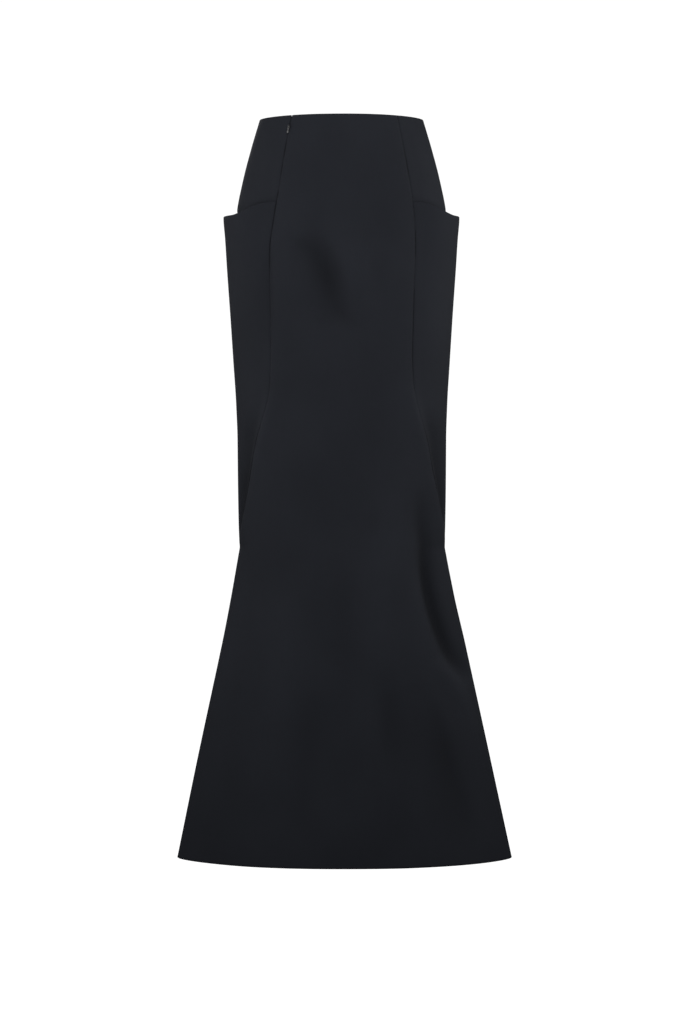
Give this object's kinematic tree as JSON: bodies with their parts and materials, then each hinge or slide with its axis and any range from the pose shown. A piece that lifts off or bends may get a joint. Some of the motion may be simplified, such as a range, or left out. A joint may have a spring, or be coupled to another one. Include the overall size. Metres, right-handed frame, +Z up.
{
  "type": "long column skirt with side pockets and a flared hem",
  "caption": "Long fitted skirt filled out as if worn, with side panels that stand away from the hips as pockets, a flared hem and a concealed zip.",
  "frame": {"origin": "middle of the waist ring, level with the skirt's top edge, where the wearer's waist holds it", "axes": "+Z up along the skirt's length, -Y out of the front, +X towards the wearer's left"},
  "size_m": [0.4893, 0.302, 1.082],
  "materials": {
    "suiting": "matte near-black stretch suiting",
    "zip_tape": "black woven tape",
    "zip_coil": "black nylon coil",
    "lacquer": "black lacquer",
    "nickel": "dull black-nickel plate"
  },
  "bodies": {
    "skirt": {"front_panel": "suiting", "back_panel": "suiting", "side_yoke_left": "suiting", "side_yoke_right": "suiting", "side_panel_left": "suiting", "side_panel_right": "suiting", "zip_tape_front": "zip_tape", "zip_tape_side": "zip_tape", "zip_coil": "zip_coil", "zip_slider": "lacquer", "waist_hook": "nickel", "waist_eye": "nickel"},
    "pull": {"zip_pull": "nickel"}
  },
  "joints": [
    {"name": "pull_swing", "type": "hinge", "parent": "skirt", "child": "pull", "pos_m": [-0.07588, -0.07469, -0.01679], "axis": [-0.8728, 0.4791, 0.0928], "range_deg": [0, 165]}
  ]
}
